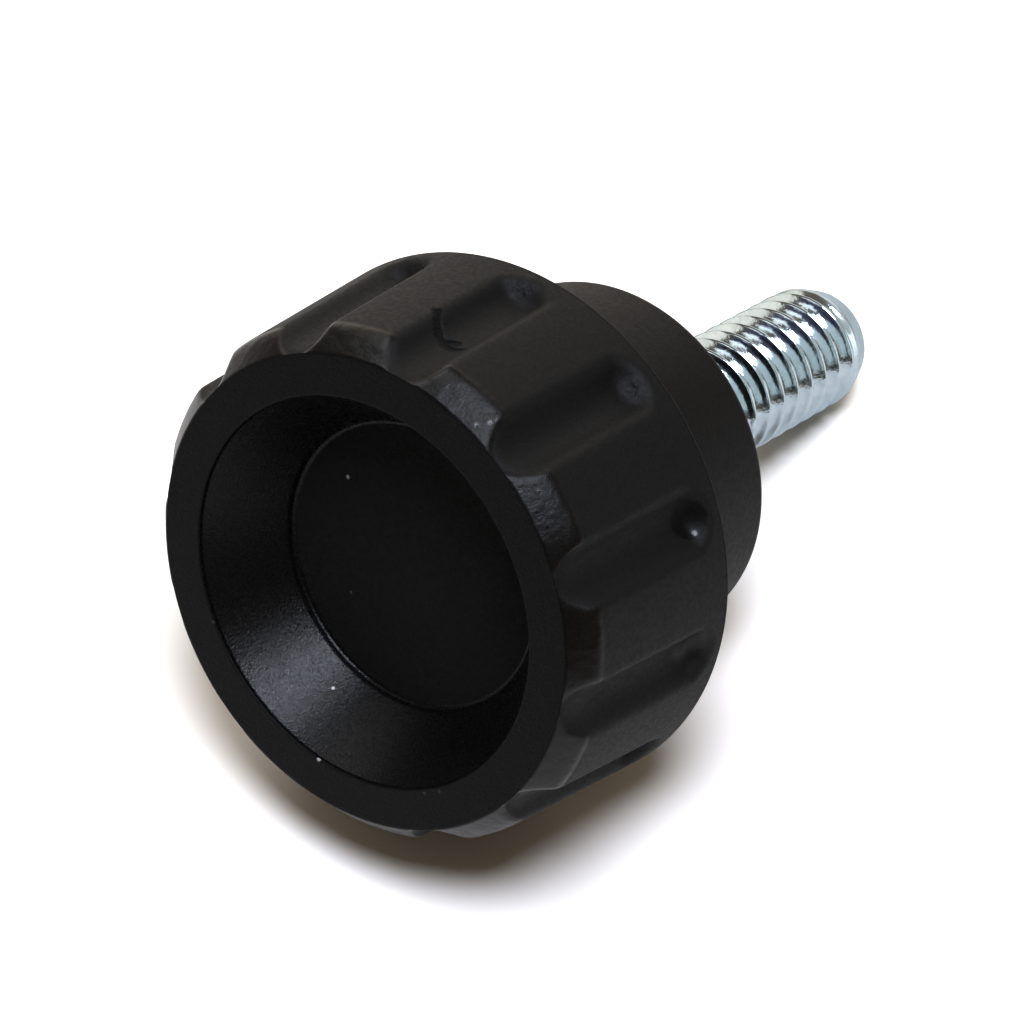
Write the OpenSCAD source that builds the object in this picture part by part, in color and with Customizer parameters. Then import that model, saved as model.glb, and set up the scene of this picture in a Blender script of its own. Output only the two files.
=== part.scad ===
// Clamping knob: a fluted plastic knob with a dished front, a plain hub behind the grip and a
// threaded metal stud moulded into it. Millimetres.
//
// The knob is turned about its own axis: the front rim lies in the plane z = 0 and the stud points
// along +z. lying() then lays it on the floor as it comes to rest, on the edge of its back ring and the
// end of its stud, with the dish towards -Y and a little up.

/* [Grip] */
// Largest diameter, at the plain ring behind the flutes
grip_d = 25.4; // [20:0.1:40]
// Length of the grip from the front rim to the back of the ring
grip_len = 10.1; // [7:0.1:18]
// Draft of the grip: how far its side leans out towards the back, degrees
grip_draft = 4.06; // [0:0.01:6]
// Radius rounded off the back edge of the ring
ring_edge_r = 0.25; // [0.1:0.05:0.5]

/* [Flutes] */
// Flutes around the grip
flute_count = 12; // [8:1:16]
// Radius of the flute's round section
flute_r = 1.46; // [0.8:0.01:2.5]
// Depth of a flute below the grip's side
flute_depth = 0.86; // [0.4:0.01:1.4]
// Radius of the dome that closes a flute at the back
flute_end_r = 1.63; // [1.5:0.01:3]
// Where a flute ends, measured from the front rim
flute_len = 9.2; // [5:0.1:12]

/* [Dish] */
// Outer diameter of the flat front rim
rim_d = 22.14; // [16:0.01:34]
// Diameter of the mouth of the dish
mouth_d = 18.3; // [10:0.1:26]
// Diameter of the dish where the cone wall ends
floor_d = 13.8; // [6:0.1:20]
// Depth of the cone wall below the rim
cone_depth = 3.5; // [1.5:0.1:6]
// Depth of the small step from the cone wall to the floor
step_depth = 0.37; // [0.1:0.01:1]

/* [Hub] */
// Diameter of the hub at its end face
hub_d = 17.4; // [12:0.1:24]
// Length of the whole plastic body from the rim to the hub's end face
body_len = 19.1; // [12:0.1:30]
// Radius rounded off the hub's end
hub_edge_r = 0.4; // [0.1:0.1:1.5]

/* [Stud] */
// Outside diameter of the thread, a quarter inch with 20 turns to the inch
thread_d = 6.3; // [4:0.1:10]
// Length of the stud beyond the hub's end face
stud_len = 18.9; // [8:0.1:40]
// Length of the tapered point
point_len = 1.6; // [0.5:0.1:3]
// How far the full diameter runs into the hub
run_in = 0.1; // [0.1:0.1:0.5]
// Diameter of the blank shank inside the hub
shank_d = 5.5; // [3:0.1:9]
// Size of the hidden hexagon head, across its flats
head_af = 9.6; // [7:0.1:13]
// Thickness of the hidden head
head_h = 3.6; // [2:0.1:6]
// Distance of the head from the hub's end face
head_set = 6.4; // [4:0.1:9]

/* [Hidden] */
$fn = 128;
rim_r = rim_d/2;
thread_r = thread_d/2;
tip_z = body_len + stud_len;
point_z = tip_z - point_len;
shoulder_z = 1.5;
slope = tan(grip_draft);
// radius of the grip's side at height z
function side_r(z) = grip_d/2 - (grip_len - z)*slope;
// shoulder in front of the lands: a chamfer, rounded into the grip's side
shoulder = [[rim_r, 0], [side_r(shoulder_z) - 0.57, 0.50], [side_r(shoulder_z) - 0.23, 0.92],
            [side_r(shoulder_z) - 0.07, 1.20], [side_r(shoulder_z), shoulder_z]];
// n points along a quarter turn of radius r about c, from angle a0
function bend(c, r, a0, a1, n) = [for (i = [0:n]) c + r*[cos(a0 + (a1 - a0)*i/n), sin(a0 + (a1 - a0)*i/n)]];
ring_z = grip_len - ring_edge_r;
ring_edge = bend([side_r(ring_z) - ring_edge_r, ring_z], ring_edge_r, 0, 90, 3);
hub_root_r = hub_d/2 + 0.15;
hub_edge = bend([hub_d/2 - hub_edge_r, body_len - hub_edge_r], hub_edge_r, 0, 90, 4);
floor_z = cone_depth + step_depth;
// turns the seam of the round faces off the axis of the flutes
seam_turn = 180/112;
floor_edge_r = 0.2;
floor_edge = bend([floor_d/2 - 0.05 - floor_edge_r, floor_z - floor_edge_r], floor_edge_r, 90, 0, 3);
mouth = [[floor_d/2, cone_depth], [mouth_d/2 - 0.05, 0.22], [mouth_d/2 - 0.02, 0.06], [mouth_d/2 + 0.04, 0]];
body_profile = concat([[0, floor_z]], floor_edge, mouth, shoulder, ring_edge,
                      [[hub_root_r, grip_len]], hub_edge, [[0, body_len]]);
// flute centre line: parallel to the grip's side
flute_c = side_r(0) - flute_depth + flute_r;
flute_top = flute_len - flute_end_r;
// how the knob lies: the ring's edge and the end of the thread touch the floor
touch_r = ring_edge[1][0];
touch_z = ring_edge[1][1];
lean = atan((touch_r - thread_r)/(point_z - touch_z));
lift = touch_r*cos(lean) + touch_z*sin(lean);
back = (rim_r*sin(lean) - tip_z*cos(lean) - tip_end_r()*sin(lean))/2;
function tip_end_r() = thread_r - 0.7;

// from the knob's own axis to the way it lies on the floor
module lying() {
  translate([0, back, lift]) rotate([-(90 + lean), 0, 0]) children();
}

// one flute: a round channel with a domed end, leaning with the grip's side
module flute() {
  translate([flute_c, 0, 0]) rotate([0, grip_draft, 0])
    rotate_extrude() intersection() {
      translate([0, -6]) square([flute_r, flute_len + 8]);
      union() {
        translate([0, flute_top]) circle(flute_end_r);
        translate([0, -6]) square([flute_r + 2, flute_top + 6]);
      }
    }
}

// hidden part of the stud: the blank shank and the hexagon head that keeps it from turning
module insert() {
  translate([0, 0, body_len - head_set - head_h]) cylinder(h = head_h, d = head_af/cos(30), $fn = 6);
  translate([0, 0, body_len - head_set - 0.5]) cylinder(h = head_set + 0.5 - run_in, d = shank_d);
}

// the one-piece moulding: rim, dish, fluted grip, ring and hub
module knob_body() {
  color([0.11, 0.11, 0.11]) lying() difference() {
    rotate([0, 0, seam_turn]) rotate_extrude() polygon(body_profile);
    for (i = [0:flute_count - 1]) rotate([0, 0, 90 + i*360/flute_count]) flute();
    insert();
    translate([0, 0, body_len - run_in]) cylinder(h = run_in + 1, d = thread_d);
  }
}

// the plated stud: head and shank in the hub, thread as a plain cylinder, tapered point
module threaded_stud() {
  color([0.74, 0.78, 0.80]) lying() union() {
    insert();
    rotate_extrude() polygon([[0, body_len - run_in], [thread_r, body_len - run_in], [thread_r, point_z],
                              [thread_r - 0.53, tip_z - 0.2], [tip_end_r(), tip_z], [0, tip_z]]);
  }
}

knob_body();
threaded_stud();
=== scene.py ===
"""Clamping knob: the looks. Two pieces, both in the row frame, in metres.

knob_moulding stands for knob_body and stud_thread_turns for threaded_stud. Both are made in the knob's own frame
(r, phi, z in millimetres; the rim lies in z = 0, the stud points along +z, phi = 90 points down) and laid on the
floor as the CAD lays them.
"""

import math

import bpy
import numpy as np
from mathutils import Matrix, Vector


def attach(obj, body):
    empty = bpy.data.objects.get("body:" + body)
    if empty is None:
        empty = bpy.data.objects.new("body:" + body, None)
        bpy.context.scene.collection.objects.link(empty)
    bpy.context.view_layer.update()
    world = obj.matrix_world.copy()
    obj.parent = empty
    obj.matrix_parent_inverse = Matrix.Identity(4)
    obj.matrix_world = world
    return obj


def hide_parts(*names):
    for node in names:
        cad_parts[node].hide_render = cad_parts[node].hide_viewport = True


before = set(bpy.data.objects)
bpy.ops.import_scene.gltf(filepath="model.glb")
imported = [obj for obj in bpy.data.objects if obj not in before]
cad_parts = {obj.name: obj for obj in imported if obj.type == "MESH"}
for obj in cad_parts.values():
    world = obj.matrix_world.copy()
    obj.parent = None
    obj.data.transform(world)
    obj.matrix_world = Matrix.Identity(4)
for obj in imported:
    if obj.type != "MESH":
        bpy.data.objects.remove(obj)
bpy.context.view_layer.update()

# ---------------------------------------------------------------- sizes, as in the CAD (mm, degrees)
GRIP_R, GRIP_LEN, DRAFT, RING_EDGE = 12.7, 10.1, 4.06, 0.25
FLUTES, FLUTE_R, FLUTE_DEPTH, FLUTE_END_R, FLUTE_LEN = 12, 1.46, 0.86, 1.63, 9.2
RIM_R, MOUTH_R, FLOOR_R, CONE_DEPTH, STEP = 11.07, 9.15, 6.9, 3.5, 0.37
HUB_R, BODY_LEN, HUB_EDGE = 8.7, 19.1, 0.4
THREAD_R, STUD_LEN, POINT_LEN, SHANK_R, RUN_IN = 3.15, 18.9, 1.6, 2.75, 0.1
HEAD_AF, HEAD_H, HEAD_SET = 9.6, 3.6, 6.4
PITCH = 1.27
FLOOR_Z = CONE_DEPTH + STEP
TIP_Z = BODY_LEN + STUD_LEN
POINT_Z = TIP_Z - POINT_LEN
SLOPE = math.tan(math.radians(DRAFT))

# how the knob lies
edge_c = np.array([GRIP_R - RING_EDGE * SLOPE - RING_EDGE, GRIP_LEN - RING_EDGE])
touch = edge_c + RING_EDGE * np.array([math.cos(math.radians(30)), math.sin(math.radians(30))])
LEAN = math.atan((touch[0] - THREAD_R) / (POINT_Z - touch[1]))
CL, SL = math.cos(LEAN), math.sin(LEAN)
LIFT = touch[0] * CL + touch[1] * SL
BACK = (RIM_R * SL - TIP_Z * CL - (THREAD_R - 0.7) * SL) / 2


def to_row(p):
    """Knob-frame millimetres to row-frame metres."""
    x, y, z = p[..., 0], p[..., 1], p[..., 2]
    return np.stack([x, BACK + z * CL - y * SL, LIFT - z * SL - y * CL], -1) / 1000


def side_r(z):
    return GRIP_R - (GRIP_LEN - z) * SLOPE


# ---------------------------------------------------------------- mesh helpers
def make_object(name, points, faces, zones, materials, masks=()):
    """A smooth-shaded mesh. points are in knob millimetres and are kept as the attribute 'knob' for the textures;
    masks are further values per point, also for the textures."""
    mesh = bpy.data.meshes.new(name)
    mesh.from_pydata(to_row(points).tolist(), [], faces)
    mesh.update()
    at = mesh.attributes.new("knob", "FLOAT_VECTOR", "POINT")
    at.data.foreach_set("vector", points.astype(np.float32).ravel())
    for key, values in masks:
        mesh.attributes.new(key, "FLOAT", "POINT").data.foreach_set("value", np.asarray(values, np.float32))
    for m in materials:
        mesh.materials.append(m)
    mesh.polygons.foreach_set("material_index", np.array(zones, np.int32))
    mesh.polygons.foreach_set("use_smooth", np.ones(len(faces), bool))
    mesh.update()
    ob = bpy.data.objects.new(name, mesh)
    bpy.context.scene.collection.objects.link(ob)
    return ob


def smax(a, b, k):
    h = np.maximum(k - np.abs(a - b), 0)
    return np.maximum(a, b) + h * h / (4 * k)


def smoothstep(x, a, b):
    t = np.clip((x - a) / (b - a), 0, 1)
    return t * t * (3 - 2 * t)


# ---------------------------------------------------------------- moulded body
# columns: fine at the flutes' edges, wider on the lands
inner = np.arange(-3.2, 3.21, 0.8)
edge = np.arange(3.8, 9.31, 0.5)
land = np.array([10.2, 11.7, 13.3, 15.0, 16.7, 18.3, 19.8])
pitch_cols = np.concatenate([inner, edge, land, 30 - edge[::-1]])
phi = np.concatenate([pitch_cols + 30 * i for i in range(FLUTES)])
NC = len(phi)
off = (phi + 15) % 30 - 15
cph, sph = np.cos(np.radians(phi)), np.sin(np.radians(phi))

# the lands' shoulder: a chamfer that curves into the drafted side (z, r, slope)
SH = [(0.0, RIM_R, 0.92), (0.50, 11.52, 0.88), (0.92, 11.86, 0.70), (1.2, 12.02, 0.35), (1.6, side_r(1.6), SLOPE)]


def shoulder_r(z):
    z = np.asarray(z, float)
    out = side_r(z)
    for (z0, r0, m0), (z1, r1, m1) in zip(SH, SH[1:]):
        h = z1 - z0
        t = np.clip((z - z0) / h, 0, 1)
        v = ((2 * t**3 - 3 * t**2 + 1) * r0 + (t**3 - 2 * t**2 + t) * h * m0
             + (-2 * t**3 + 3 * t**2) * r1 + (t**3 - t**2) * h * m1)
        out = np.where((z >= z0) & (z < z1), v, out)
    return out


def grip_r(z, off=off):
    """Radius of the fluted side at height z, for every column: the drafted side less the round flutes, edges eased."""
    a = math.radians(DRAFT)
    rho0 = side_r(0) - FLUTE_DEPTH + FLUTE_R
    top = FLUTE_LEN - FLUTE_END_R
    s = shoulder_r(z)
    lean = math.atan((float(shoulder_r(z + 0.01)) - float(shoulder_r(z - 0.01 if z > 0.02 else z))) / (0.02 if z > 0.02 else 0.01))
    o = np.radians(off)
    lo, hi = np.full(len(off), 9.8), np.full(len(off), float(s) + 0.01)
    for _ in range(40):
        r = (lo + hi) / 2
        x, y = r * np.cos(o) - rho0, r * np.sin(o)
        u = x * math.cos(a) - z * math.sin(a)          # across the flute's own axis
        w = x * math.sin(a) + z * math.cos(a)          # along it
        q = np.hypot(u, y)
        d = q - FLUTE_R
        cap = np.hypot(q, np.maximum(w - top, 0)) - FLUTE_END_R
        cut = np.where(w > top, smax(d, cap, 0.12), smax(d, q - FLUTE_END_R, 0.12))
        f = smax((r - s) * math.cos(lean), -cut, 0.42)
        lo, hi = np.where(f < 0, r, lo), np.where(f < 0, hi, r)
    return (lo + hi) / 2


def arc(cx, cz, r, a0, a1, n, ends=True):
    ts = np.radians(np.linspace(a0, a1, n + 1))
    pts = [(cx + r * math.cos(t), cz + r * math.sin(t)) for t in ts]
    return pts if ends else pts[1:-1]


FLOOR, CONE, RIM, GRIP, HUB, EDGE, POCKET = range(7)
rows = []                                              # (r per column, z, zone of the faces before the row)


def ring(r, z, zone):
    rows.append((np.full(NC, float(r)) if np.isscalar(r) else r, float(z), zone))


for r in (0.3, 0.8, 1.4, 2.1, 2.8, 3.5, 4.2, 4.9, 5.5, 6.0, 6.35, 6.55, 6.62):
    ring(r, FLOOR_Z, FLOOR)
fr = 0.2
for r, z in arc(FLOOR_R - 0.05 - fr, FLOOR_Z - fr, fr, 90, 0, 6):
    ring(r, z, CONE)
for r, z in ((6.857, 3.63), (6.872, 3.575), (6.882, 3.545), (6.893, 3.518), (6.908, 3.492), (6.928, 3.462)):
    ring(r, z, CONE)
k = (MOUTH_R - 0.05 - FLOOR_R) / (CONE_DEPTH - 0.22)
for z in (3.42, 3.34, 3.2, 3.0, 2.8, 2.6, 2.4, 2.2, 2.0, 1.8, 1.6, 1.4, 1.2, 1.0, 0.8, 0.6, 0.45, 0.35, 0.29):
    ring(FLOOR_R + (CONE_DEPTH - z) * k, z, CONE)
for r, z in ((9.084, 0.245), (9.1, 0.215), (9.108, 0.17), (9.114, 0.12), (9.12, 0.08)):
    ring(r, z, CONE)
for r, z in ((9.13, 0.045), (9.146, 0.02), (9.168, 0.006), (9.195, 0.0)):
    ring(r, z, RIM)
for r in (9.26, 9.45, 9.8, 10.2, 10.6, 10.84, 10.93, 10.97):
    ring(r, 0, RIM)
for r, z in ((11.0, 0.002), (11.03, 0.009), (11.055, 0.021)):
    ring(r, z, RIM)
zs = np.concatenate([np.arange(0.04, 0.5, 0.035), np.arange(0.5, 1.6, 0.08), np.arange(1.65, 7.0, 0.37),
                     np.arange(7.2, 9.45, 0.07), [9.5, 9.6, 9.7, 9.78, 9.82]])
for z in zs:
    ring(grip_r(float(z)), z, GRIP)
for r, z in arc(edge_c[0], edge_c[1], RING_EDGE, 0, 90, 6):
    ring(r, z, EDGE)
hf = 0.3
for r in (12.37, 12.1, 11.3, 10.4, 9.6, 9.22):
    ring(r, GRIP_LEN, HUB)
for r, z in arc(8.85 + hf, GRIP_LEN + hf, hf, 270, 180, 5):
    ring(r, z, HUB)
for z in (10.5, 11.0, 12.0, 13.2, 14.4, 15.6, 16.8, 17.8, 18.4, 18.64):
    ring(8.85 - 0.15 * (z - 10.1) / (BODY_LEN - HUB_EDGE - 10.1), z, HUB)
for r, z in arc(HUB_R - HUB_EDGE, BODY_LEN - HUB_EDGE, HUB_EDGE, 0, 90, 7):
    ring(r, z, HUB)
for r in (8.12, 7.4, 6.2, 5.0, 4.0, 3.4, THREAD_R + 0.004):
    ring(r, BODY_LEN, HUB)
hexa = HEAD_AF / 2 / np.cos(np.radians(phi % 60 - 30))
gap = 0.004
ring(THREAD_R + gap, BODY_LEN - RUN_IN - gap, HUB)
ring(SHANK_R + gap, BODY_LEN - RUN_IN - gap, HUB)
ring(SHANK_R + gap, BODY_LEN - HEAD_SET + gap, HUB)
ring(hexa + gap, BODY_LEN - HEAD_SET + gap, HUB)
ring(hexa + gap, BODY_LEN - HEAD_SET - HEAD_H - gap, HUB)
ring(2.4, BODY_LEN - HEAD_SET - HEAD_H - gap, HUB)

NR = len(rows)
pts = np.zeros((NR * NC + 2, 3))
for i, (r, z, _) in enumerate(rows):
    pts[i * NC:(i + 1) * NC] = np.stack([r * cph, r * sph, np.full(NC, z)], 1)
pts[-2] = (0, 0, FLOOR_Z)
pts[-1] = (0, 0, BODY_LEN - HEAD_SET - HEAD_H - gap)
faces, zones = [], []
for j in range(NC):
    jj = (j + 1) % NC
    faces.append((NR * NC, jj, j)); zones.append(FLOOR)
    for i in range(NR - 1):
        faces.append((i * NC + j, i * NC + jj, (i + 1) * NC + jj, (i + 1) * NC + j)); zones.append(rows[i + 1][2])
    faces.append(((NR - 1) * NC + j, (NR - 1) * NC + jj, NR * NC + 1)); zones.append(HUB)
body_pts, body_faces = pts, faces
# how far a point belongs to the smoother shoulder in front of the lands
r_all, z_all = np.hypot(pts[:, 0], pts[:, 1]), pts[:, 2]
shoulder = (1 - smoothstep(z_all, 1.15, 1.6)) * (1 - smoothstep(shoulder_r(z_all) - r_all, 0.03, 0.15)) * (z_all < 2)
# and the two lands whose shoulder is burnished
ph_all = np.degrees(np.arctan2(pts[:, 1], pts[:, 0]))
worn = shoulder * smoothstep(ph_all, -84, -70) * (1 - smoothstep(ph_all, -45, -36))
# one flute's end is dull, with a small shiny spot
pocket = np.linalg.norm(pts - np.array([12.0 * math.cos(math.radians(-30)), 12.0 * math.sin(math.radians(-30)), 8.5]), axis=1) < 0.95
body_zones = [POCKET if zo == GRIP and all(pocket[v] for v in fa) else zo for fa, zo in zip(faces, zones)]

# ---------------------------------------------------------------- stud with its turns
# The grid follows the helix: every STEPC columns the next column's rows move up by one.
NS, STEPC = 120, 5
DZ = PITCH * STEPC / NS
CREST_PHI, CREST_Z = -67.2, 26.8                       # a point on a crest line
DEPTH = 0.62


def thread_r(ph, z):
    """Radius of the right-hand thread: narrow crest, hollow flanks, wider root, all eased."""
    u = (z - CREST_Z - PITCH * (ph - CREST_PHI) / 360) / PITCH
    t = np.abs(u - np.round(u)) * PITCH                # axial distance from the crest line
    t = t - PITCH / 24
    flank = smax(THREAD_R - t * math.tan(math.radians(62)),
                 THREAD_R - 0.33 - (t - 0.1755) * math.tan(math.radians(48)), 0.05)
    r = -smax(-flank, np.full_like(flank, -THREAD_R), 0.07)
    return smax(r, np.full_like(r, THREAD_R - DEPTH), 0.06)


def stud_r(ph, z):
    full = thread_r(ph, z)
    cut = smoothstep(z, BODY_LEN + 0.1, BODY_LEN + 0.9) * (1 - smoothstep(z, POINT_Z - 0.75, POINT_Z + 0.05))
    r = THREAD_R - (THREAD_R - full) * cut
    point = np.interp(z, [POINT_Z, TIP_Z - 0.2, TIP_Z], [THREAD_R, THREAD_R - 0.53, THREAD_R - 0.7])
    return np.where(z > POINT_Z - 0.3, -smax(-r, -point, 0.1), r)


sphi = np.arange(NS) * 360 / NS
sc, ss = np.cos(np.radians(sphi)), np.sin(np.radians(sphi))
n_rows = int(round((TIP_Z - 0.25 - (BODY_LEN - RUN_IN)) / DZ))
z_rows = BODY_LEN - RUN_IN + DZ * np.arange(n_rows + 1)
P = []
for i, z in enumerate(z_rows):
    w = min(1.0, i / 6, (n_rows - i) / 6)
    zz = z + w * DZ * (np.arange(NS) % STEPC) / STEPC
    r = stud_r(sphi, zz)
    P.append(np.stack([r * sc, r * ss, zz], 1))


def at_col(i, j):
    return i * NS + j % NS


F = []
for j in range(NS):
    s = 1 if (j + 1) % STEPC == 0 else 0
    for i in range(n_rows - s):
        F.append((at_col(i, j), at_col(i + s, j + 1), at_col(i + s + 1, j + 1), at_col(i + 1, j)))
    if s:
        F.append((at_col(0, j), at_col(0, j + 1), at_col(1, j + 1)))
        F.append((at_col(n_rows - 1, j), at_col(n_rows, j + 1), at_col(n_rows, j)))
# tip: eased edge and flat end
base = len(P)
zt = z_rows[-1]
for f in (0.35, 0.6, 0.8, 0.92, 1.0):
    z = zt + (TIP_Z - zt) * f
    r = float(np.interp(z, [POINT_Z, TIP_Z - 0.2, TIP_Z], [THREAD_R, THREAD_R - 0.53, THREAD_R - 0.7]))
    P.append(np.stack([r * sc, r * ss, np.full(NS, z)], 1))
for r in (2.38, 2.2, 1.5, 0.7):
    P.append(np.stack([r * sc, r * ss, np.full(NS, TIP_Z)], 1))
for i in range(base - 1, len(P) - 1):
    for j in range(NS):
        F.append((at_col(i, j), at_col(i, j + 1), at_col(i + 1, j + 1), at_col(i + 1, j)))
last = len(P) - 1
# hidden end: shank and hexagon head
hexs = HEAD_AF / 2 / np.cos(np.radians(sphi % 60 - 30))
zin = BODY_LEN - RUN_IN
hidden = [(np.full(NS, SHANK_R), zin), (np.full(NS, SHANK_R), BODY_LEN - HEAD_SET), (hexs, BODY_LEN - HEAD_SET),
          (hexs, BODY_LEN - HEAD_SET - HEAD_H), (np.full(NS, 2.0), BODY_LEN - HEAD_SET - HEAD_H)]
first = len(P)
for r, z in hidden:
    P.append(np.stack([r * sc, r * ss, np.full(NS, z)], 1))
for a, b in zip([0] + list(range(first, len(P) - 1)), range(first, len(P))):
    for j in range(NS):
        F.append((at_col(b, j), at_col(b, j + 1), at_col(a, j + 1), at_col(a, j)))
nv = len(P) * NS
P = np.concatenate(P + [np.array([[0, 0, TIP_Z], [0, 0, BODY_LEN - HEAD_SET - HEAD_H]])])
for j in range(NS):
    F.append((at_col(last, j), at_col(last, j + 1), nv))
    F.append((nv - NS + (j + 1) % NS, nv - NS + j, nv + 1))
stud_pts, stud_faces = P, F


# ---------------------------------------------------------------- materials
class Nodes:
    def __init__(self, name):
        self.mat = bpy.data.materials.new(name)
        self.mat.use_nodes = True
        self.t = self.mat.node_tree
        self.bsdf = self.t.nodes["Principled BSDF"]
        self.knob = self.add("ShaderNodeAttribute")
        self.knob.attribute_name = "knob"
        self.p = self.knob.outputs["Vector"]

    def add(self, kind):
        return self.t.nodes.new(kind)

    def link(self, a, b):
        self.t.links.new(a, b)

    def put(self, sock, v):
        if isinstance(v, bpy.types.NodeSocket):
            self.link(v, sock)
        else:
            sock.default_value = v

    def math(self, op, a, b=None, c=None, clamp=False):
        n = self.add("ShaderNodeMath")
        n.operation = op
        n.use_clamp = clamp
        for s, v in zip(n.inputs, (a, b, c)):
            if v is not None:
                self.put(s, v)
        return n.outputs[0]

    def vmath(self, op, a, b=None):
        n = self.add("ShaderNodeVectorMath")
        n.operation = op
        self.put(n.inputs[0], a)
        if b is not None:
            self.put(n.inputs[1], b)
        return n.outputs["Value"] if op in ("LENGTH", "DISTANCE", "DOT_PRODUCT") else n.outputs["Vector"]

    def noise(self, scale, detail=2.0, rough=0.5, vec=None, dist=0.0):
        n = self.add("ShaderNodeTexNoise")
        n.noise_dimensions = "3D"
        n.inputs["Scale"].default_value = scale
        n.inputs["Detail"].default_value = detail
        n.inputs["Roughness"].default_value = rough
        n.inputs["Distortion"].default_value = dist
        self.link(vec or self.p, n.inputs["Vector"])
        return n.outputs[0]

    def ramp(self, v, a, b, lo=0.0, hi=1.0, smooth=True):
        n = self.add("ShaderNodeMapRange")
        n.interpolation_type = "SMOOTHSTEP" if smooth else "LINEAR"
        n.clamp = True
        self.put(n.inputs["Value"], v)
        for key, x in (("From Min", a), ("From Max", b), ("To Min", lo), ("To Max", hi)):
            self.put(n.inputs[key], x)
        return n.outputs[0]

    def colour(self, fac, c0, c1):
        n = self.add("ShaderNodeMix")
        n.data_type = "RGBA"
        self.put(n.inputs[0], fac)
        for s, c in ((n.inputs[6], c0), (n.inputs[7], c1)):
            if isinstance(c, bpy.types.NodeSocket):
                self.link(c, s)
            else:
                s.default_value = (*c, 1)
        return n.outputs[2]

    def bump(self, height, mm, normal=None):
        n = self.add("ShaderNodeBump")
        n.inputs["Strength"].default_value = 1.0
        n.inputs["Distance"].default_value = mm / 1000
        self.link(height, n.inputs["Height"])
        if normal is not None:
            self.link(normal, n.inputs["Normal"])
        return n.outputs[0]

    def mask(self, key):
        n = self.add("ShaderNodeAttribute")
        n.attribute_name = key
        return n.outputs["Fac"]

    def shaken(self, scale, mm):
        """The place on the knob, moved about by a noise."""
        n = self.add("ShaderNodeTexNoise")
        n.inputs["Scale"].default_value = scale
        self.link(self.p, n.inputs["Vector"])
        v = self.vmath("SUBTRACT", n.outputs["Color"], (0.5, 0.5, 0.5))
        return self.vmath("ADD", self.p, self.vmath("MULTIPLY", v, (mm, mm, mm)))

    def axes(self):
        s = self.add("ShaderNodeSeparateXYZ")
        self.link(self.p, s.inputs[0])
        return s.outputs[0], s.outputs[1], s.outputs[2]

    def radius(self):
        x, y, z = self.axes()
        return self.math("SQRT", self.math("ADD", self.math("MULTIPLY", x, x), self.math("MULTIPLY", y, y)))


def plastic(name, dark, light, rough, spec=0.25):
    n = Nodes(name)
    n.bsdf.inputs["Specular IOR Level"].default_value = spec
    n.bsdf.inputs["IOR"].default_value = 1.5
    f = n.ramp(n.noise(10.0, 3, 0.7), 0.3, 0.7)
    n.link(n.colour(f, dark, light), n.bsdf.inputs["Base Color"])
    n.link(n.ramp(n.noise(5.0, 3, 0.6), 0.3, 0.7, rough[0], rough[1]), n.bsdf.inputs["Roughness"])
    return n


def at(r, ph, z):
    return (r * math.cos(math.radians(ph)), r * math.sin(math.radians(ph)), z)


def spots(n, points, r0, r1, where=None):
    """1 within r0 mm of any of the points, 0 beyond r1."""
    out = None
    for q in points:
        m = n.ramp(n.vmath("DISTANCE", where or n.p, q), r0, r1, 1.0, 0.0)
        out = m if out is None else n.math("MAXIMUM", out, m)
    return out


def floor_material():
    n = plastic("plastic_dish_floor", (0.001, 0.001, 0.001), (0.007, 0.007, 0.007), (0.62, 0.78), 0.3)
    b = n.bump(n.noise(6.0, 6, 0.7, dist=1.4), 0.12)
    n.link(b, n.bsdf.inputs["Normal"])
    speck = n.math("MAXIMUM", spots(n, [at(4.92, -149.5, 3.87)], 0.05, 0.13),
                   n.math("MULTIPLY", spots(n, [at(4.21, 134.8, 3.87)], 0.04, 0.12), 0.15))
    n.link(n.colour(speck, n.bsdf.inputs["Base Color"].links[0].from_socket, (0.35, 0.36, 0.38)), n.bsdf.inputs["Base Color"])
    return n.mat


def cone_material():
    n = plastic("plastic_dish_wall", (0.0008, 0.0008, 0.0008), (0.006, 0.006, 0.006), (0.25, 0.3), 0.23)
    cloud = n.bump(n.noise(0.9, 2, 0.5), 0.012)
    b = n.bump(n.noise(13.0, 2, 0.5), 0.024, cloud)
    n.link(b, n.bsdf.inputs["Normal"])
    speck = spots(n, [at(7.53, 106.3, 2.56)], 0.04, 0.11)
    n.link(n.colour(speck, n.bsdf.inputs["Base Color"].links[0].from_socket, (0.45, 0.45, 0.45)), n.bsdf.inputs["Base Color"])
    return n.mat


def rim_material():
    n = plastic("plastic_rim", (0.0008, 0.0008, 0.0008), (0.006, 0.006, 0.006), (0.5, 0.62), 0.18)
    b = n.bump(n.noise(7.0, 4, 0.65), 0.04)
    n.link(b, n.bsdf.inputs["Normal"])
    # painted highlights: the glints of tiny burrs on the lip, drawn as lighter spots in the base colour, one strong and
    # three faint
    painted_burr_glint = spots(n, [at(9.14, 93.2, 0.02)], 0.06, 0.14)
    faint_painted_burr_glints = spots(n, [at(9.2, 144.0, 0.0), at(9.3, 55.4, 0.0), at(9.33, 49.9, 0.0)], 0.03, 0.12)
    m = n.math("MAXIMUM", painted_burr_glint, n.math("MULTIPLY", faint_painted_burr_glints, 0.12))
    n.link(n.colour(m, n.bsdf.inputs["Base Color"].links[0].from_socket, (0.3, 0.3, 0.3)), n.bsdf.inputs["Base Color"])
    return n.mat


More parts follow.
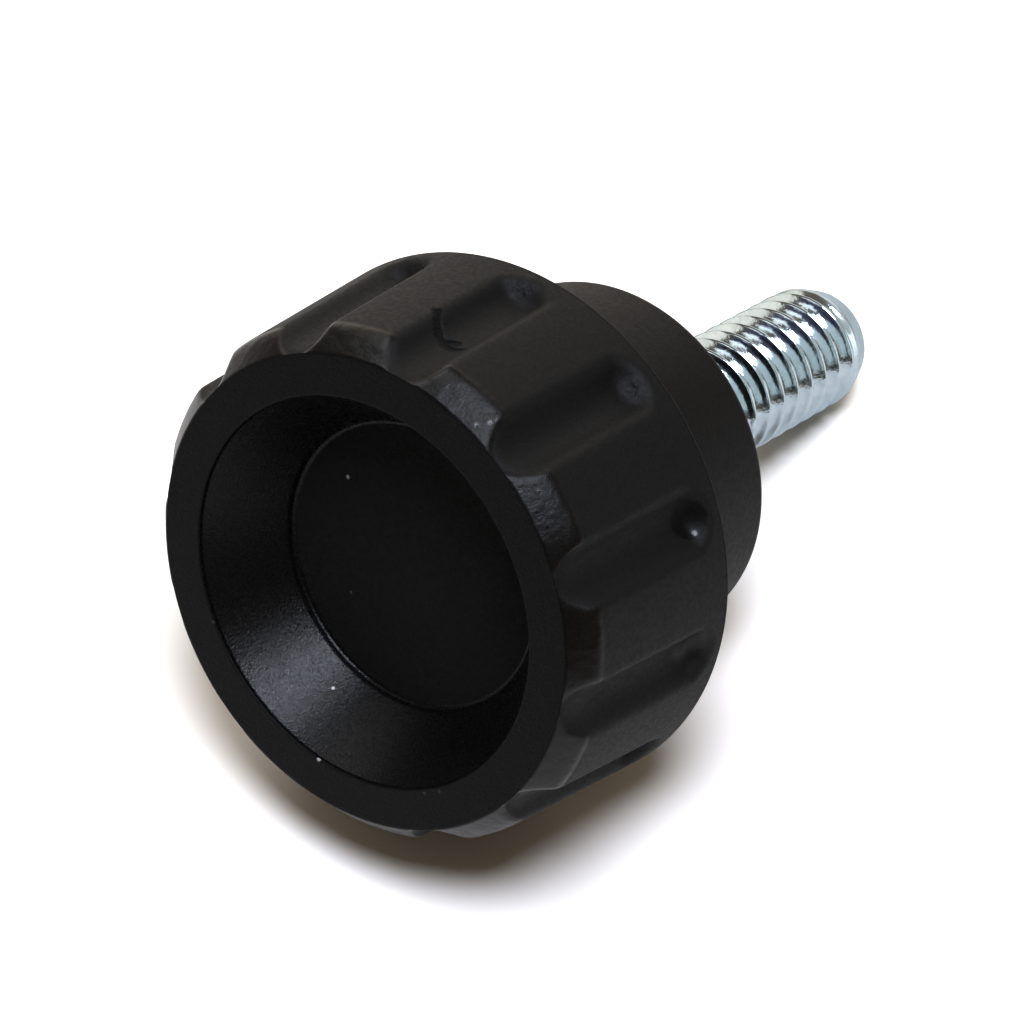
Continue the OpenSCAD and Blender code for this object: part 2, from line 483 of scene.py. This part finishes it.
def grip_material():
    n = plastic("plastic_grip", (0.0008, 0.0008, 0.0008), (0.006, 0.006, 0.006), (0.6, 0.72), 0.34)
    sh, wear = n.mask("shoulder"), n.mask("worn")
    fine = n.bump(n.noise(8.0, 4, 0.65), 0.012)
    normal = n.bump(n.math("MULTIPLY", n.noise(1.6, 1, 0.4), sh), 0.04, fine)

    def on(ph, z):
        return at(float(grip_r(z, np.array([(ph + 15) % 30 - 15]))[0]), ph, z)

    def stroke(path, step=0.09):
        out = []
        for (p0, z0), (p1, z1) in zip(path, path[1:]):
            m = max(2, int(math.hypot((p1 - p0) * 0.195, z1 - z0) / step))
            out += [on(p0 + (p1 - p0) * i / m, z0 + (z1 - z0) * i / m) for i in range(m)]
        return out

    # a gouged hook in one flute
    hook = stroke([(-97.0, 4.3), (-95.5, 3.9), (-93.5, 3.6), (-91.2, 3.35), (-88.8, 3.3), (-87.0, 3.4)])
    hook += stroke([(-91.0, 3.6), (-89.8, 3.9)])
    gouge = spots(n, hook, 0.0, 0.3, n.shaken(3.0, 0.25))
    normal = n.bump(n.math("SUBTRACT", 1.0, gouge), 0.4, normal)
    # rough flute ends, and a smoother one
    ends = spots(n, [on(-91.5, 9.0), on(-59.0, 8.75), on(-119.0, 8.9)], 0.25, 0.75)
    normal = n.bump(n.math("MULTIPLY", ends, n.noise(3.6, 2, 0.6)), 0.09, normal)
    glossy = spots(n, [on(-1.5, 8.45)], 0.5, 1.3)
    # small raised spots in the burnished shoulder
    pips = [at(r, ph, z) for ph, z, r in (
        (-69.2, 0.30, 11.34), (-67.7, 0.65, 11.65), (-66.9, 0.89, 11.84), (-52.4, 0.13, 11.19), (-46.6, 0.26, 11.31),
        (-51.7, 1.09, 11.97), (-42.7, 0.33, 11.37), (-50.2, 0.66, 11.66))]
    normal = n.bump(n.math("MULTIPLY", n.noise(2.4, 2, 0.6), wear), 0.05, normal)
    pip = spots(n, pips, 0.0, 0.19)
    n.link(normal, n.bsdf.inputs["Normal"])
    rough = n.bsdf.inputs["Roughness"].links[0].from_socket
    for mask, value in ((sh, 0.31), (wear, 0.52), (glossy, 0.4), (pip, 0.27), (gouge, 1.0)):
        rough = n.ramp(mask, 0.0, 1.0, rough, value)
    n.link(rough, n.bsdf.inputs["Roughness"])
    return n.mat


def pocket_material():
    n = plastic("plastic_smooth_pocket", (0.0008, 0.0008, 0.0008), (0.006, 0.006, 0.006), (0.5, 0.56), 0.18)
    n.link(n.bump(n.noise(6.0, 3, 0.6), 0.008), n.bsdf.inputs["Normal"])
    glint = spots(n, [at(12.08, -26.7, 8.58)], 0.05, 0.3)
    n.link(n.ramp(glint, 0.0, 1.0, n.bsdf.inputs["Roughness"].links[0].from_socket, 0.22), n.bsdf.inputs["Roughness"])
    return n.mat


def edge_material():
    n = plastic("plastic_ring_edge", (0.0008, 0.0008, 0.0008), (0.006, 0.006, 0.006), (0.66, 0.78), 0.2)
    n.link(n.bump(n.noise(8.0, 4, 0.6), 0.01), n.bsdf.inputs["Normal"])
    return n.mat


def hub_material():
    n = plastic("plastic_hub", (0.0008, 0.0008, 0.0008), (0.006, 0.006, 0.006), (0.55, 0.65), 0.28)
    n.link(n.bump(n.noise(8.0, 4, 0.6), 0.01), n.bsdf.inputs["Normal"])
    return n.mat


def zinc_material():
    n = Nodes("bright_zinc")
    n.bsdf.inputs["Metallic"].default_value = 1.0
    n.bsdf.inputs["Specular Tint"].default_value = (0.6, 0.65, 0.68, 1)
    f = n.ramp(n.noise(1.6, 3, 0.6), 0.3, 0.7)
    n.link(n.colour(f, (0.36, 0.42, 0.455), (0.41, 0.47, 0.51)), n.bsdf.inputs["Base Color"])
    rough = n.ramp(n.noise(3.0, 3, 0.6), 0.3, 0.7, 0.08, 0.17)
    n.link(n.ramp(n.axes()[2], POINT_Z - 0.3, POINT_Z + 0.2, rough, 0.36), n.bsdf.inputs["Roughness"])
    n.link(n.bump(n.noise(5.0, 3, 0.6), 0.008), n.bsdf.inputs["Normal"])
    return n.mat


body = make_object("knob_moulding", body_pts, body_faces, body_zones,
                   [floor_material(), cone_material(), rim_material(), grip_material(), hub_material(), edge_material(),
                    pocket_material()],
                   masks=(("shoulder", shoulder), ("worn", worn)))
stud = make_object("stud_thread_turns", stud_pts, stud_faces, [0] * len(stud_faces), [zinc_material()])
for ob, node, slot in ((body, "knob_body", "black_plastic"), (stud, "threaded_stud", "zinc_plated_steel")):
    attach(ob, "root")
    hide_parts(node)

# ---------------------------------------------------------------- floor, light, camera
n = Nodes("pale_floor")
n.bsdf.inputs["Roughness"].default_value = 0.9
n.bsdf.inputs["Specular IOR Level"].default_value = 0.1
tc = n.add("ShaderNodeTexCoord")
n.link(n.colour(n.noise(4.0, 3, 0.5, tc.outputs["Object"]), (0.88, 0.85, 0.80), (0.90, 0.87, 0.82)), n.bsdf.inputs["Base Color"])
mesh = bpy.data.meshes.new("floor")
ts = np.linspace(0, 2 * math.pi, 128, endpoint=False)
mesh.from_pydata([(-0.05 + 0.15 * math.cos(t), 0.06 + 0.15 * math.sin(t), 0) for t in ts], [], [tuple(range(128))])
mesh.materials.append(n.mat)
floor = bpy.data.objects.new("floor", mesh)
bpy.context.scene.collection.objects.link(floor)

world = bpy.data.worlds.new("studio")
bpy.context.scene.world = world
world.use_nodes = True
# a white room behind the floor, of which only a dim warm part reaches the object
wt = world.node_tree
bg = wt.nodes["Background"]
bg.inputs["Color"].default_value = (1.0, 0.84, 0.66, 1)
white = wt.nodes.new("ShaderNodeBackground")
white.inputs["Color"].default_value = (1.0, 1.0, 1.0, 1)
white.inputs["Strength"].default_value = 1.02
path, mix = wt.nodes.new("ShaderNodeLightPath"), wt.nodes.new("ShaderNodeMixShader")
tc, dot, dim = (wt.nodes.new("ShaderNode" + k) for k in ("TexCoord", "VectorMath", "MapRange"))
dot.operation = "DOT_PRODUCT"
dot.inputs[1].default_value = (0.15, -0.92, 0.36)      # the room is darker in front of the knob
wt.links.new(tc.outputs["Generated"], dot.inputs[0])
wt.links.new(dot.outputs["Value"], dim.inputs["Value"])
for key, x in (("From Min", 0.56), ("From Max", 0.82), ("To Min", 0.36), ("To Max", 0.1)):
    dim.inputs[key].default_value = x
wt.links.new(dim.outputs[0], bg.inputs["Strength"])
wt.links.new(path.outputs["Is Camera Ray"], mix.inputs[0])
wt.links.new(bg.outputs[0], mix.inputs[1])
wt.links.new(white.outputs[0], mix.inputs[2])
wt.links.new(mix.outputs[0], wt.nodes["World Output"].inputs["Surface"])


def area(name, direction, dist, size, watts, target=(0, -0.008, 0.012), colour=(1, 1, 1), size_y=None):
    d = Vector(direction).normalized()
    data = bpy.data.lights.new(name, "AREA")
    data.energy = watts
    data.color = colour
    data.shape = "DISK" if size_y is None else "RECTANGLE"
    data.size = size
    if size_y:
        data.size_y = size_y
    ob = bpy.data.objects.new(name, data)
    ob.location = Vector(target) + d * dist
    ob.rotation_mode = "QUATERNION"
    ob.rotation_quaternion = d.to_track_quat("Z", "Y")
    bpy.context.scene.collection.objects.link(ob)
    return ob


area("key", (0.24, -0.18, 0.95), 0.5, 0.2, 3.7, colour=(0.82, 0.87, 1.0))
WARM = (1.0, 0.93, 0.83)
area("left_back", (-0.57, 0.77, 0.28), 0.6, 0.9, 2.2, size_y=0.5, colour=WARM)
top = area("left_top", (-0.50, 0.12, 0.86), 0.55, 0.25, 0.8, size_y=0.25, colour=(0.95, 0.97, 1.0))
plain = bpy.data.collections.new("not_on_the_stud")
plain.objects.link(body)
plain.objects.link(floor)
top.light_linking.receiver_collection = plain
# cards for the bright stud only
stud_only = bpy.data.collections.new("stud_cards")
stud_only.objects.link(stud)
for card in (area("stud_left", (-0.88, -0.30, 0.36), 0.5, 0.5, 1.15, size_y=0.45, colour=WARM),
             area("stud_back", (0.40, 0.55, 0.72), 0.6, 1.2, 2.4, size_y=0.8, colour=(0.93, 0.98, 1.0)),
             area("stud_top", (-0.287, -0.41, 0.866), 0.6, 0.25, 0.27, size_y=0.17, colour=(0.96, 0.98, 1.0)),
             area("stud_facing", (0.583, -0.603, 0.545), 0.6, 0.3, 0.66, size_y=0.64, colour=(0.84, 0.96, 1.0)),
             area("stud_right", (0.95, 0.17, 0.26), 0.5, 0.5, 0.88, size_y=0.35, colour=(0.93, 0.98, 1.0)),
             area("stud_front", (-0.05, -0.75, 0.65), 0.6, 0.5, 0.09, size_y=0.4, colour=(0.25, 0.35, 1.0))):
    card.light_linking.receiver_collection = stud_only

cam_data = bpy.data.cameras.new("camera")
cam_data.sensor_width = 36
cam_data.lens = 3870.69 / 1024 * 36
cam_data.clip_start, cam_data.clip_end = 0.01, 50
cam = bpy.data.objects.new("camera", cam_data)
right = Vector((0.78771333, 0.6150345, -0.0352176))
up = Vector((-0.4319163, 0.59213767, 0.6803097))
back = Vector((0.4392676, -0.52067796, 0.73207816))
loc = Vector((77.70444643, -97.9033308, 140.87878939)) / 1000
cam.matrix_world = Matrix((
    (right.x, up.x, back.x, loc.x), (right.y, up.y, back.y, loc.y), (right.z, up.z, back.z, loc.z), (0, 0, 0, 1)))
bpy.context.scene.collection.objects.link(cam)
bpy.context.scene.camera = cam
bpy.context.scene.view_settings.view_transform = "Standard"
bpy.context.scene.view_settings.look = "None"
bpy.context.scene.view_settings.gamma = 0.8
